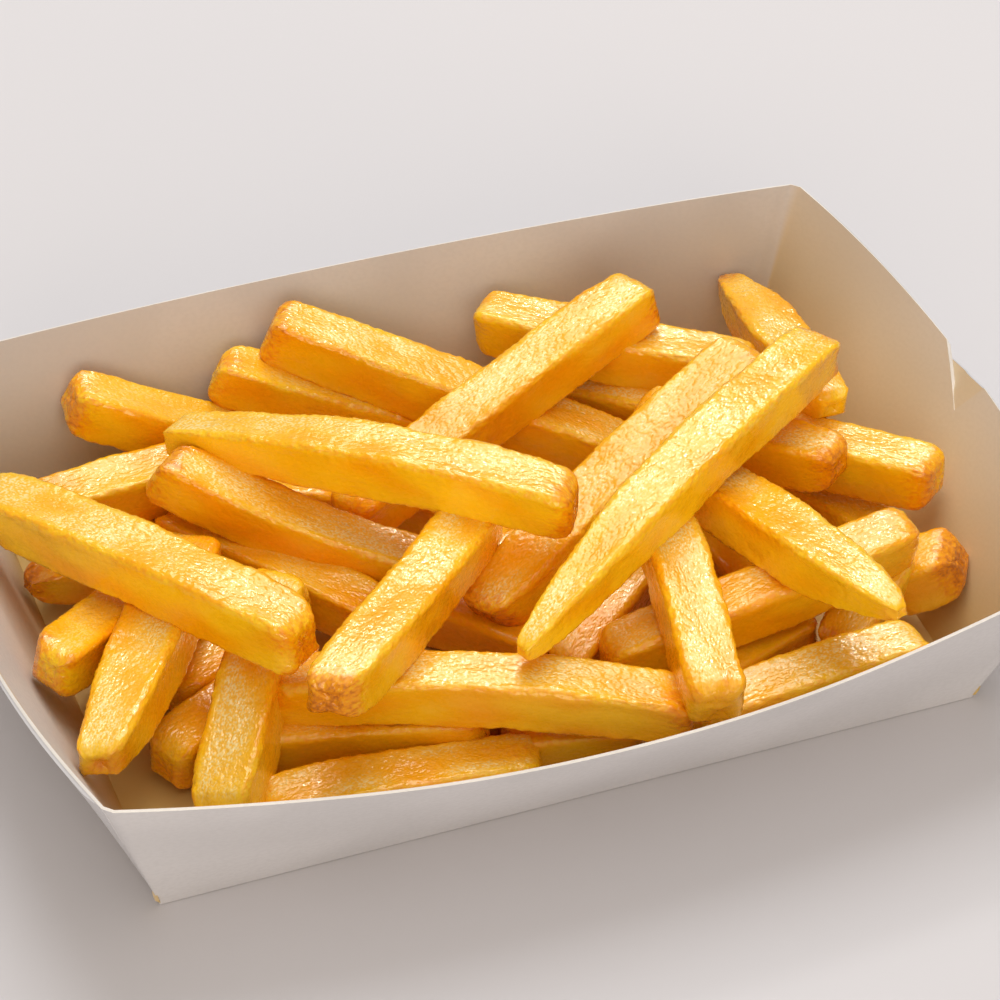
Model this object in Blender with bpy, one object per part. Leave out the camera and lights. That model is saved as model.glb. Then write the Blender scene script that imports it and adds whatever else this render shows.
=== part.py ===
"""French fries in an open paperboard carton. Lengths are written in millimetres and
turned to metres where a mesh is made. X runs along the carton, Y across it, Z up.
"""

import math
from dataclasses import dataclass

import bmesh
import bpy
from mathutils import Vector

MM = 0.001

# The carton: one sheet folded into a tray with leaning walls that bow outwards.
BASE_LENGTH = 150.0
BASE_WIDTH = 97.0
CORNER_HEIGHT = 35.0
END_LEAN = 11.0
SIDE_LEAN = 9.0
BOW_FRONT = 10.0
BOW_BACK = 6.0
BOW_RIGHT = 10.0
BOW_LEFT = 8.0
BOARD = 0.5
CORNER_FACET = 2.4
SIDE_SPANS = 16
END_SPANS = 12

# Each end wall has an ear of the long walls behind it and one slit with a tongue.
EAR_REACH = 37.0
EAR_FOOT = 0.10
EAR_DROP = 0.42
EAR_SPANS = 6
SLIT_TOP = 9.0
SLIT_FOOT = -1.0
SLIT_DEPTH = 0.20
SLIT_WIDTH = 0.7
TONGUE_TOP = -3.0
LAYER_BITE = 0.2

# The outward bows differ, so the base sits off the middle of the outer box.
BASE_X = (BOW_LEFT - BOW_RIGHT) / 2
BASE_Y = (BOW_FRONT - BOW_BACK) / 2

# A fry is cut square and has softened edges and ends.
EDGE_CUT = 0.19
END_ROUND = 2.2
BLUNT_POWER = 6.0
POINTED_POWER = 1.9
POINTED_BELOW = 0.7
STATIONS = (-0.5, 0.0, 0.5)
ON_FLOOR = 5.7

# The core is the hidden lump that the lowest fries are pressed into.
CORE_REACH_X = 60.0
CORE_REACH_Y = 36.0
CORE_SQUARENESS = 2.6
CORE_LEVELS = ((1.1, 0.96), (4.0, 1.0), (7.0, 0.92))
CORE_SIDES = 24
SCRAP_VOLUME = 40.0


@dataclass
class Fry:
    """A fry from one end's centre to the other's, in millimetres from the base's middle."""

    start: tuple
    end: tuple
    width: float = 9.7
    depth: float = 9.6
    roll: float = 0.0
    rise: float = 0.0
    start_taper: float = 0.85
    end_taper: float = 0.85

    def point(self, s):
        """The centre line at s, from -1 at the start to 1 at the end."""
        line = Vector(self.start).lerp(Vector(self.end), (s + 1) / 2)
        return line + Vector((0, 0, self.rise * (1 - s * s)))

    def fullness(self, s):
        taper = self.start_taper if s < 0 else self.end_taper
        power = POINTED_POWER if taper < POINTED_BELOW else BLUNT_POWER
        return 1 - (1 - taper) * abs(s) ** power

    def axes(self):
        """Unit vectors along the fry, across it and up its side, rolled about its length."""
        along = (Vector(self.end) - Vector(self.start)).normalized()
        across = Vector((0, 0, 1)).cross(along).normalized()
        up = along.cross(across)
        turn = math.radians(self.roll)
        side = across * math.cos(turn) + up * math.sin(turn)
        return along, side, up * math.cos(turn) - across * math.sin(turn)


# Hidden fries on the carton's floor, which carry the heap.
BED_FRIES = [
    Fry((-14, 34, ON_FLOOR), (14, 6, ON_FLOOR)),
    Fry((-4, 1, ON_FLOOR), (36, 11, ON_FLOOR)),
    Fry((52, 31, ON_FLOOR), (56, -6, ON_FLOOR)),
    Fry((43, 15, ON_FLOOR), (47, -22, ON_FLOOR)),
    Fry((-18, 6, ON_FLOOR), (6, -19, ON_FLOOR)),
    Fry((25, -36, ON_FLOOR), (52, -28, 7)),
    Fry((-31.5, 36, 7.5), (-16, 27, 7.5)),
]

# Fries seen in the gaps, on the floor or leaning on a wall.
LOW_FRIES = [
    Fry((5, -26, 8), (38, -1, 12)),
    Fry((-61, -9, ON_FLOOR), (-40, 1, ON_FLOOR)),
    Fry((-10, -38, 6), (13, -43, ON_FLOOR)),
    Fry((-9, -19, 6), (-9, -34, 6)),
    Fry((8, 43, ON_FLOOR), (35, 19, ON_FLOOR)),
    Fry((61, 11, ON_FLOOR), (73, -13, 8)),
    Fry((-67, -24, 6), (-47, -13, 6)),
    Fry((-49.5, 28.5, 11), (-22, -6.7, 11)),
    Fry((-77, 22.8, 8.5), (-50, 27, 7.5), start_taper=0.5),
    Fry((-82.8, -11.5, 21.5), (-54.5, 16, 8.5), start_taper=0.7),
    Fry((-61, 50.5, 25), (-29, 43, 11), width=10, depth=10),
    Fry((-33, 52, 23), (4, 38, 10.5)),
    Fry((-73, 32, 16.5), (-31, 35, 16.5), depth=10.4),
    Fry((79.2, -31.2, 17), (66, -26, 9.5), width=10.6, depth=10.4, start_taper=0.75),
    Fry((69, -26, 15), (53, -37, 7)),
    Fry((-51, -23.5, ON_FLOOR), (-13, -36, 10)),
]

# Fries of the middle of the heap.
MIDDLE_FRIES = [
    Fry((-54, -39, 6), (-6, -45, 6.5), start_taper=0.7),
    Fry((70, -28, 23), (11, -31, 12), width=9.8, depth=9.8),
    Fry((64, -46, 13.5), (19, -44, 6.3), width=9.8, depth=9.8, start_taper=0.8),
    Fry((29.6, 42.7, 10.5), (82, -15, 21), width=10, depth=10, end_taper=0.9),
    Fry((39, 22, 18), (65, -9, 24), end_taper=0.8),
    Fry((70, 52.8, 19), (70, 5.3, 25), width=11, start_taper=0.3, end_taper=0.65),
    Fry((19, 52, 22), (62, 21, 22), width=10, depth=10, start_taper=0.9),
    Fry((-80.8, -34, 20.5), (-48.6, 14.6, 16), width=12, depth=10, roll=-8, start_taper=0.6),
    Fry((-62, -42, 8.5), (-37, 0.3, 19), width=11, depth=10, roll=-14, start_taper=0.9),
    Fry((-46.5, -21, 13.8), (18.5, -50.5, 16), width=10.2, depth=10, rise=4, end_taper=0.95),
    Fry((-22, 54, 29), (37, 19, 10.5), width=10.5, depth=10.3, start_taper=0.95),
    Fry((-51.2, 26.7, 26.5), (-9, -2.8, 14), width=10, depth=9.8, rise=-3, start_taper=0.9),
]

# Fries on top of the heap.
TOP_FRIES = [
    Fry((-81, 30, 23.5), (-42, -26, 29), width=11, depth=10.8, rise=1, start_taper=0.8),
    Fry((46, 39, 32), (-20.4, 15.5, 14.5), width=10.5, depth=10.3, start_taper=0.9),
    Fry((56, 15, 33), (-5.2, -13.5, 13), width=10.8, depth=10.5, end_taper=0.8),
    Fry((40, -5, 23.5), (53.5, -55, 33), width=10.8, depth=10, end_taper=0.3),
    Fry((28, -13, 26), (20, -57, 23), width=10.3, depth=10, end_taper=0.95),
    Fry((-43, -40, 29), (1, 1, 24), width=10.5, depth=10, start_taper=0.75),
    Fry((-46.7, 34.6, 26), (11, -14, 34), width=10.5, depth=10.3, rise=2.3, start_taper=0.6),
    Fry((69, 10.6, 36), (-8.6, -38.4, 28), width=10.2, depth=10.2, rise=3, end_taper=0.35),
]


def clear_scene():
    for item in list(bpy.data.objects):
        bpy.data.objects.remove(item, do_unlink=True)


def new_object(name, bm):
    """Makes an object of a mesh worked out in millimetres, with its faces turned outwards."""
    bmesh.ops.recalc_face_normals(bm, faces=bm.faces)
    bmesh.ops.scale(bm, vec=(MM, MM, MM), verts=bm.verts)
    mesh = bpy.data.meshes.new(name)
    bm.to_mesh(mesh)
    bm.free()
    made = bpy.data.objects.new(name, mesh)
    bpy.context.scene.collection.objects.link(made)
    return made


def finish(name, colour, roughness):
    material = bpy.data.materials.new(name)
    material.use_nodes = True
    shader = material.node_tree.nodes["Principled BSDF"]
    shader.inputs["Base Color"].default_value = (*colour, 1.0)
    shader.inputs["Roughness"].default_value = roughness
    shader.inputs["Metallic"].default_value = 0.0
    return material


def rim_reach(lean, bow, u):
    """How far the rim stands out from the foot, and its height, at u from -1 to 1 along a wall.

    The board keeps its slant length, so the rim drops where the wall bows outwards.
    """
    reach = lean + bow * (1 - u * u)
    slant = math.hypot(lean, CORNER_HEIGHT)
    return reach, math.sqrt(slant**2 - reach**2)


def wall_point(wall, u, t):
    """A point on the outside of a wall, u along it and t up it, from 0 at the foot to 1."""
    half_x, half_y = BASE_LENGTH / 2, BASE_WIDTH / 2
    if wall in ("right", "left"):
        side = 1 if wall == "right" else -1
        reach, height = rim_reach(END_LEAN, BOW_RIGHT if side > 0 else BOW_LEFT, u)
        return Vector((side * (half_x + reach * t), u * (half_y + SIDE_LEAN * t), height * t))
    side = 1 if wall == "back" else -1
    reach, height = rim_reach(SIDE_LEAN, BOW_BACK if side > 0 else BOW_FRONT, u)
    return Vector((u * (half_x + END_LEAN * t), side * (half_y + reach * t), height * t))


def wall_normal(wall, u, t):
    """The direction out of the carton at a point of a wall."""
    step = 0.01
    along = wall_point(wall, u + step, t) - wall_point(wall, u - step, t)
    upward = wall_point(wall, u, t + step) - wall_point(wall, u, t - step)
    normal = along.cross(upward).normalized()
    middle = wall_point(wall, 0, 0)
    outwards = Vector((middle.x, middle.y, 0))
    return normal if normal.dot(outwards) > 0 else -normal


def tray_outline():
    """The foot and rim points round the tray, with a narrow facet at each corner."""
    foot, rim = [], []
    for wall, start, spans in (
        ("front", -1, SIDE_SPANS),
        ("right", -1, END_SPANS),
        ("back", 1, SIDE_SPANS),
        ("left", 1, END_SPANS),
    ):
        half = BASE_LENGTH / 2 + END_LEAN if wall in ("front", "back") else BASE_WIDTH / 2 + SIDE_LEAN
        last = 1 - CORNER_FACET / half
        for i in range(spans + 1):
            share = start * (1 - 2 * i / spans)
            foot.append(wall_point(wall, share, 0))
            rim.append(wall_point(wall, share * last, 1))
    return foot, rim


def build_tray():
    """The floor and the walls as one thin sheet, thickened inwards."""
    bm = bmesh.new()
    foot, rim = tray_outline()
    low, high = [], []
    for foot_place, rim_place in zip(foot, rim):
        corner = bool(low) and (foot_place - low[-1].co).length < 1e-6
        low.append(low[-1] if corner else bm.verts.new(foot_place))
        high.append(bm.verts.new(rim_place))
    low[-1] = low[0]
    for i, vertex in enumerate(low):
        after = (i + 1) % len(low)
        ring = [vertex, low[after], high[after], high[i]]
        corners = [v for k, v in enumerate(ring) if v not in ring[:k]]
        bm.faces.new(corners)
    base = [v for k, v in enumerate(low) if v not in low[:k]]
    bm.faces.new(base)
    bmesh.ops.triangulate(bm, faces=[f for f in bm.faces if len(f.verts) == 4])
    tray = new_object("carton", bm)
    solidify = tray.modifiers.new("board", "SOLIDIFY")
    solidify.thickness = BOARD * MM
    solidify.offset = -1
    solidify.use_even_offset = True
    return tray


def wall_patch(name, wall, corners_of, spans, inner, outer):
    """A closed slab that follows a wall between two distances from its outer face.

    corners_of(i) gives the lower and upper (u, t) of column i.
    """
    bm = bmesh.new()
    columns = []
    for i in range(spans + 1):
        column = []
        for u, t in corners_of(i):
            place, normal = wall_point(wall, u, t), wall_normal(wall, u, t)
            column.append(bm.verts.new(place + normal * inner))
            column.append(bm.verts.new(place + normal * outer))
        columns.append(column)
    for a, b in zip(columns, columns[1:]):
        bm.faces.new((a[0], a[2], b[2], b[0]))
        bm.faces.new((a[1], a[3], b[3], b[1]))
        bm.faces.new((a[0], a[1], b[1], b[0]))
        bm.faces.new((a[2], a[3], b[3], b[2]))
    for column in (columns[0], columns[-1]):
        bm.faces.new((column[0], column[1], column[3], column[2]))
    bmesh.ops.triangulate(bm, faces=bm.faces)
    return new_object(name, bm)


def build_ear(wall, side):
    """The ear of a long wall, glued behind an end wall from its corner towards the middle."""
    half = BASE_WIDTH / 2 + SIDE_LEAN
    corner = 1 - 1.5 * CORNER_FACET / half
    reach = EAR_REACH / half

    def column(i):
        share = i / EAR_SPANS
        u = side * (corner - reach * share)
        return (u, EAR_FOOT + (EAR_DROP - EAR_FOOT) * share), (u, 0.995 - 0.06 * (share == 1))

    return wall_patch(f"ear_{wall}_{side}", wall, column, EAR_SPANS, -LAYER_BITE, BOARD)


def slit_side(wall):
    """Which way along an end wall the tongue's ear comes from. The two ends turn round each other."""
    return 1 if wall == "right" else -1


def build_tongue(wall):
    """The tip of the ear, which comes through the slit and lies on the inside of the wall."""
    half = BASE_WIDTH / 2 + SIDE_LEAN
    side = slit_side(wall)
    spans = 3

    def column(i):
        share = i / spans
        top = SLIT_TOP + (TONGUE_TOP - SLIT_TOP) * share
        foot = SLIT_FOOT if share < 0.5 else SLIT_FOOT + (TONGUE_TOP - SLIT_FOOT) * (share - 0.5) * 2
        low_u = (top + (foot - top) * (1 - share)) / half
        return (side * low_u, 0.99 - SLIT_DEPTH * (1 - share * 0.9)), (side * top / half, 0.99)

    return wall_patch(f"tongue_{wall}", wall, column, spans, -BOARD - 0.45, -BOARD + LAYER_BITE)


def build_slit(wall):
    """The cutter of the slit beside the tongue. It leaves the ear behind the wall whole."""
    half = BASE_WIDTH / 2 + SIDE_LEAN
    side = slit_side(wall)

    def column(i):
        shift = SLIT_WIDTH * i
        return (
            (side * (SLIT_FOOT + shift + 0.2) / half, 1 - SLIT_DEPTH),
            (side * (SLIT_TOP + shift + 0.2) / half, 1.03),
        )

    return wall_patch(f"slit_{wall}", wall, column, 1, -BOARD - 1.5, 0.6)


def collection_of(name, items):
    group = bpy.data.collections.new(name)
    for item in items:
        for owner in list(item.users_collection):
            owner.objects.unlink(item)
        group.objects.link(item)
    bpy.context.scene.collection.children.link(group)
    return group


def apply_modifiers(item):
    graph = bpy.context.evaluated_depsgraph_get()
    mesh = bpy.data.meshes.new_from_object(item.evaluated_get(graph))
    item.modifiers.clear()
    item.data = mesh


def combine(item, others, operation, solver="EXACT"):
    """Joins others to item, or cuts them from it, and removes them."""
    group = collection_of(f"{item.name}_{operation.lower()}", others)
    boolean = item.modifiers.new(operation.lower(), "BOOLEAN")
    boolean.operation = operation
    boolean.operand_type = "COLLECTION"
    boolean.collection = group
    boolean.solver = solver
    apply_modifiers(item)
    for other in others:
        bpy.data.objects.remove(other, do_unlink=True)
    bpy.data.collections.remove(group)


def build_carton():
    tray = build_tray()
    layers = [build_ear(wall, side) for wall in ("right", "left") for side in (1, -1)]
    layers += [build_tongue(wall) for wall in ("right", "left")]
    combine(tray, layers, "UNION")
    combine(tray, [build_slit(wall) for wall in ("right", "left")], "DIFFERENCE")
    return tray


def fry_section(fry, s, shrink):
    """The eight corners of a fry's section: a rectangle with its edges cut off."""
    along, side, up = fry.axes()
    middle = fry.point(s)
    half_w = fry.width * fry.fullness(s) * shrink / 2
    half_d = fry.depth * fry.fullness(s) * shrink / 2
    cut = EDGE_CUT * 2 * min(half_w, half_d)
    corners = []
    for w, d in ((1, 1), (-1, 1), (-1, -1), (1, -1)):
        near_side = (w * half_w, d * (half_d - cut))
        near_top = (w * (half_w - cut), d * half_d)
        pair = (near_side, near_top) if w * d > 0 else (near_top, near_side)
        corners += [middle + side * a + up * b for a, b in pair]
    return corners


def build_fry(name, fry):
    """A fry as a loft through its sections, closed by two smaller end faces."""
    bm = bmesh.new()
    length = (Vector(fry.end) - Vector(fry.start)).length
    inset = 2 * END_ROUND / length
    rings = []
    for s in (-1, inset - 1, *STATIONS, 1 - inset, 1):
        shrink = 1 - EDGE_CUT if abs(s) == 1 else 1
        rings.append([bm.verts.new(p) for p in fry_section(fry, s, shrink)])
    for a, b in zip(rings, rings[1:]):
        for i in range(len(a)):
            after = (i + 1) % len(a)
            bm.faces.new((a[i], a[after], b[after], b[i]))
    bm.faces.new(rings[0])
    bm.faces.new(rings[-1])
    bmesh.ops.triangulate(bm, faces=bm.faces)
    return new_object(name, bm)


def rounded(wave):
    """A cosine or sine turned to that of an oval between an ellipse and a rectangle."""
    return math.copysign(abs(wave) ** (2 / CORE_SQUARENESS), wave)


def build_core():
    """A low rounded lump on the floor, clear of the walls."""
    bm = bmesh.new()
    rings = []
    for height, share in CORE_LEVELS:
        ring = []
        for i in range(CORE_SIDES):
            turn = 2 * math.pi * i / CORE_SIDES
            x = rounded(math.cos(turn)) * CORE_REACH_X * share
            y = rounded(math.sin(turn)) * CORE_REACH_Y * share
            ring.append(bm.verts.new((x, y, height)))
        rings.append(ring)
    for a, b in zip(rings, rings[1:]):
        for i in range(CORE_SIDES):
            after = (i + 1) % CORE_SIDES
            bm.faces.new((a[i], a[after], b[after], b[i]))
    bm.faces.new(rings[0])
    bm.faces.new(rings[-1])
    bmesh.ops.triangulate(bm, faces=bm.faces)
    return new_object("fries", bm)


def shells_of(bm):
    """The separate closed surfaces of a mesh, as lists of faces."""
    left = set(bm.faces)
    shells = []
    while left:
        shell, waiting = [], [left.pop()]
        while waiting:
            face = waiting.pop()
            shell.append(face)
            for edge in face.edges:
                for other in edge.link_faces:
                    if other in left:
                        left.remove(other)
                        waiting.append(other)
        shells.append(shell)
    return shells


def volume_of(faces):
    total = 0.0
    for face in faces:
        a = face.verts[0].co
        for b, c in zip(face.verts[1:], face.verts[2:]):
            total += a.dot(b.co.cross(c.co)) / 6
    return total


def keep_outer_shell(item):
    """Drops the walls of hollows that the fusing sealed, which fills them, and loose scraps."""
    bm = bmesh.new()
    bm.from_mesh(item.data)
    shells = sorted(shells_of(bm), key=volume_of)
    for shell in shells[:-1]:
        volume = volume_of(shell) / MM**3
        if volume > SCRAP_VOLUME:
            print(f"a loose piece of {volume:.0f} cubic mm is left out")
        bmesh.ops.delete(bm, geom=shell, context="FACES")
    loose = [v for v in bm.verts if not v.link_faces]
    bmesh.ops.delete(bm, geom=loose, context="VERTS")
    bm.to_mesh(item.data)
    bm.free()


def build_heap():
    """The fries fused to one another and to the core, as one body."""
    core = build_core()
    layers = BED_FRIES + LOW_FRIES + MIDDLE_FRIES + TOP_FRIES
    pieces = [build_fry(f"fry_{i}", fry) for i, fry in enumerate(layers)]
    combine(core, pieces, "UNION")
    keep_outer_shell(core)
    return core


def main():
    clear_scene()
    base = bpy.data.objects.new("base_middle", None)
    base.location = (BASE_X * MM, BASE_Y * MM, 0)
    bpy.context.scene.collection.objects.link(base)
    carton = build_carton()
    carton.data.materials.clear()
    carton.data.materials.append(finish("paperboard", (0.83, 0.80, 0.77), 0.62))
    heap = build_heap()
    heap.data.materials.clear()
    heap.data.materials.append(finish("fried_potato", (0.86, 0.52, 0.10), 0.42))
    for item in (carton, heap):
        item.parent = base


main()
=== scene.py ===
# %% [markdown]
# # French fries in an open paperboard carton
#
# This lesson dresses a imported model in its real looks. The model brings the size and the
# place of everything: a folded tray and a heap of thick-cut fries. Here each fry becomes a
# crisp, uneven bar of fried potato, and the tray becomes folded board with creases, cut
# edges and locked ends. Lengths are written in millimetres and turned to metres at the end
# of each mesh's making, because a maker thinks of a carton in millimetres.

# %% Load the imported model
import math
import random
from dataclasses import dataclass

import bmesh
import bpy
from mathutils import Matrix, Vector, noise


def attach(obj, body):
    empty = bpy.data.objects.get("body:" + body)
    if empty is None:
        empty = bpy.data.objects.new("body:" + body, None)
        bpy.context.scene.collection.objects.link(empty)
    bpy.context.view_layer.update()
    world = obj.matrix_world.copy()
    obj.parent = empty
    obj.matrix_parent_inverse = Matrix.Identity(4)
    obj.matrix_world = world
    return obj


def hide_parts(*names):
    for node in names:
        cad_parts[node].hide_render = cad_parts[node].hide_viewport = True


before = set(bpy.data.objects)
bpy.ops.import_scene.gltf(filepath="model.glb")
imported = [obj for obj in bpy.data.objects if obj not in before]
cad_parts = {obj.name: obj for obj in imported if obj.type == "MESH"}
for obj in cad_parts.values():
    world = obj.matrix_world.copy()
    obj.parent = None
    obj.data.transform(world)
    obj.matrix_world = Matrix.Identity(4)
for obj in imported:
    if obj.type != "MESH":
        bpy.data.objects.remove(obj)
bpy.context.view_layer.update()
print("nodes:", sorted(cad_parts))

# %% [markdown]
# ## Units and a few helpers
#
# A material in Blender is a small network of nodes. These helpers add a node, set its
# sockets and join it to others, so that each recipe below reads from top to bottom.
# `mapped` turns a range of one value into a range of another, which is how a pattern's
# contrast is set.

# %% Helpers for meshes and materials
MM = 0.001


def add_object(name, mesh):
    made = bpy.data.objects.new(name, mesh)
    bpy.context.scene.collection.objects.link(made)
    return made


class Recipe:
    """A material that is built node by node."""

    def __init__(self, name):
        self.material = bpy.data.materials.new(name)
        self.material.use_nodes = True
        self.tree = self.material.node_tree
        self.shader = self.tree.nodes["Principled BSDF"]

    def node(self, kind, settings=None, **inputs):
        made = self.tree.nodes.new(kind)
        for key, value in (settings or {}).items():
            setattr(made, key, value)
        for key, value in inputs.items():
            self.feed(made.inputs[key.replace("_", " ")], value)
        return made

    def feed(self, socket, value):
        """Joins another node's output to a socket, or sets the socket to a plain value."""
        if isinstance(value, bpy.types.NodeSocket):
            self.tree.links.new(value, socket)
        else:
            socket.default_value = value

    def attribute(self, name, output="Fac"):
        made = self.tree.nodes.new("ShaderNodeAttribute")
        made.attribute_name = name
        return made.outputs[output]

    def math(self, operation, first, second):
        made = self.tree.nodes.new("ShaderNodeMath")
        made.operation = operation
        self.feed(made.inputs[0], first)
        self.feed(made.inputs[1], second)
        return made.outputs[0]

    def mapped(self, value, low, high, new_low=0.0, new_high=1.0):
        """Runs smoothly from new_low to new_high as value goes from low to high."""
        made = self.node(
            "ShaderNodeMapRange",
            {"interpolation_type": "SMOOTHSTEP"},
            Value=value,
            From_Min=low,
            From_Max=high,
            To_Min=new_low,
            To_Max=new_high,
        )
        return made.outputs["Result"]

    def mixed(self, amount, first, second):
        """A colour between two others: the first at 0, the second at 1."""
        made = self.tree.nodes.new("ShaderNodeMix")
        made.data_type = "RGBA"
        self.feed(made.inputs["Factor"], amount)
        self.feed(made.inputs["A"], first)
        self.feed(made.inputs["B"], second)
        return made.outputs["Result"]

    def speckle(self, vector, scale, detail=0.0, roughness=0.5):
        """Smooth noise. Each step of detail adds a finer layer, and costs as much again."""
        made = self.node("ShaderNodeTexNoise", Vector=vector, Scale=scale, Detail=detail, Roughness=roughness)
        return made.outputs["Fac"]

    def stretched(self, vector, stretch):
        made = self.node("ShaderNodeMapping", Vector=vector, Scale=stretch)
        return made.outputs["Vector"]

    def bumps(self, height, distance, strength):
        """Bends the normal as if a height from 0 to 1 stood out by distance, in metres."""
        made = self.node("ShaderNodeBump", Height=height, Distance=distance, Strength=strength)
        return made.outputs["Normal"]


def colour(red, green, blue):
    """A colour as it looks on a screen, from 0 to 255, as the linear light that a shader takes."""

    def linear(channel):
        share = channel / 255
        return share / 12.92 if share <= 0.04045 else ((share + 0.055) / 1.055) ** 2.4

    return (linear(red), linear(green), linear(blue), 1.0)


print("a warm white in linear light:", [round(c, 3) for c in colour(250, 245, 235)])

# %% [markdown]
# ## The camera
#
# The carton is seen from about table distance with a long lens, turned a little to its
# left and looking down by some 42 degrees. The long lens keeps the walls nearly parallel.
# The three axes are built by hand from those angles, because the picture also has a small
# roll, which a plain look-at would lose.

# %% Camera
CAMERA_TURN = math.radians(-23.80)
CAMERA_TILT = math.radians(42.01)
CAMERA_ROLL = math.radians(3.68)
CAMERA_DISTANCE = 629.7
CAMERA_AIM = Vector((4.45, 8.12, 20.0))
CAMERA_LENS = 127.3


def make_camera():
    flat = math.cos(CAMERA_TILT)
    ahead = Vector((-math.sin(CAMERA_TURN) * flat, math.cos(CAMERA_TURN) * flat, -math.sin(CAMERA_TILT)))
    right = Vector((math.cos(CAMERA_TURN), math.sin(CAMERA_TURN), 0))
    up = right.cross(ahead)
    rolled_right = right * math.cos(CAMERA_ROLL) + up * math.sin(CAMERA_ROLL)
    rolled_up = up * math.cos(CAMERA_ROLL) - right * math.sin(CAMERA_ROLL)
    turn = Matrix((rolled_right, rolled_up, -ahead)).transposed()
    lens = bpy.data.cameras.new("table_camera")
    lens.lens = CAMERA_LENS
    lens.sensor_width = 36
    lens.clip_start = 0.01
    made = add_object("table_camera", lens)
    made.matrix_world = Matrix.Translation((CAMERA_AIM - ahead * CAMERA_DISTANCE) * MM) @ turn.to_4x4()
    bpy.context.scene.camera = made
    return made


camera = make_camera()
print("camera at, in mm:", [round(c / MM) for c in camera.location])

# %% [markdown]
# ## Where each fry lies
#
# A heap looks right only if every fry rests on something. Each fry is therefore written as
# a bar between two end points, found so that it lies on the floor, on a wall or on
# the fries under it. The same bars are fused in the imported solid. Beside its place, each
# one says how much it narrows at its ends, how brown each end has fried, and how deeply
# golden it is as a whole.

# %% The fries, from the floor up
BASE_X = -1.0
BASE_Y = 2.0
ON_FLOOR = 5.7


@dataclass
class Fry:
    """A fry from one end's centre to the other's, in millimetres from the floor's middle."""

    start: tuple
    end: tuple
    width: float = 9.7
    depth: float = 9.6
    roll: float = 0.0
    rise: float = 0.0
    start_taper: float = 0.85
    end_taper: float = 0.85
    start_brown: float = 0.45
    end_brown: float = 0.45
    golden: float = 0.5


BED_FRIES = [
    Fry((-14, 34, ON_FLOOR), (14, 6, ON_FLOOR), golden=0.8),
    Fry((-4, 1, ON_FLOOR), (36, 11, ON_FLOOR), golden=0.8),
    Fry((52, 31, ON_FLOOR), (56, -6, ON_FLOOR), golden=0.8),
    Fry((43, 15, ON_FLOOR), (47, -22, ON_FLOOR), golden=0.7),
    Fry((-18, 6, ON_FLOOR), (6, -19, ON_FLOOR), golden=0.8),
    Fry((25, -36, ON_FLOOR), (52, -28, 7), golden=0.8),
    Fry((-31.5, 36, 7.5), (-16, 27, 7.5), golden=0.7),
]
LOW_FRIES = [
    Fry((5, -26, 8), (38, -1, 12), golden=0.75),
    Fry((-61, -9, ON_FLOOR), (-40, 1, ON_FLOOR), golden=0.7),
    Fry((-10, -38, 6), (13, -43, ON_FLOOR), golden=0.6),
    Fry((-9, -19, 6), (-9, -34, 6), golden=0.9),
    Fry((8, 43, ON_FLOOR), (35, 19, ON_FLOOR), golden=0.7),
    Fry((61, 11, ON_FLOOR), (73, -13, 8), golden=0.4),
    Fry((-67, -24, 6), (-47, -13, 6), golden=0.7),
    Fry((-49.5, 28.5, 11), (-22, -6.7, 11), golden=0.6),
    Fry((-77, 22.8, 8.5), (-50, 27, 7.5), start_taper=0.5, start_brown=0.9, golden=0.7),
    Fry((-82.8, -11.5, 21.5), (-54.5, 16, 8.5), start_taper=0.7, start_brown=0.75, golden=0.6),
    Fry((-61, 50.5, 25), (-29, 43, 11), width=10, depth=10, start_brown=0.75, golden=0.45),
    Fry((-33, 52, 23), (4, 38, 10.5), start_brown=0.6),
    Fry((-73, 32, 16.5), (-31, 35, 16.5), depth=10.4, start_brown=0.8, golden=0.5),
    Fry(
        (79.2, -31.2, 17),
        (66, -26, 9.5),
        width=10.6,
        depth=10.4,
        start_taper=0.75,
        start_brown=0.95,
        golden=0.8,
    ),
    Fry((69, -26, 15), (53, -37, 7), golden=0.3),
    Fry((-51, -23.5, ON_FLOOR), (-13, -36, 10), start_brown=0.8, golden=0.7),
]
MIDDLE_FRIES = [
    Fry((-54, -39, 6), (-6, -45, 6.5), start_taper=0.7),
    Fry((70, -28, 23), (11, -31, 12), width=9.8, depth=9.8, start_brown=0.6, golden=0.55),
    Fry((64, -46, 13.5), (19, -44, 6.3), width=9.8, depth=9.8, start_taper=0.8, start_brown=0.8, golden=0.35),
    Fry((29.6, 42.7, 10.5), (82, -15, 21), width=10, depth=10, end_taper=0.9, end_brown=0.7),
    Fry((39, 22, 18), (65, -9, 24), end_taper=0.8, end_brown=0.8, golden=0.85),
    Fry(
        (70, 52.8, 19),
        (70, 5.3, 25),
        width=11,
        start_taper=0.3,
        end_taper=0.65,
        start_brown=0.6,
        end_brown=0.1,
    ),
    Fry((19, 52, 22), (62, 21, 22), width=10, depth=10, start_taper=0.9),
    Fry((-80.8, -34, 20.5), (-48.6, 14.6, 16), width=12, depth=10, roll=-8, start_taper=0.6, start_brown=0.35),
    Fry(
        (-62, -42, 8.5),
        (-37, 0.3, 19),
        width=11,
        depth=10,
        roll=-14,
        start_taper=0.9,
        start_brown=0.1,
        golden=0.3,
    ),
    Fry((-46.5, -21, 13.8), (18.5, -50.5, 16), width=10.2, depth=10, rise=4, end_taper=0.95, end_brown=0.9),
    Fry((-22, 54, 29), (37, 19, 10.5), width=10.5, depth=10.3, start_taper=0.95, start_brown=0.8),
    Fry((-51.2, 26.7, 26.5), (-9, -2.8, 14), depth=9.8, rise=-3, start_taper=0.9, start_brown=0.9, golden=0.6),
]
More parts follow.
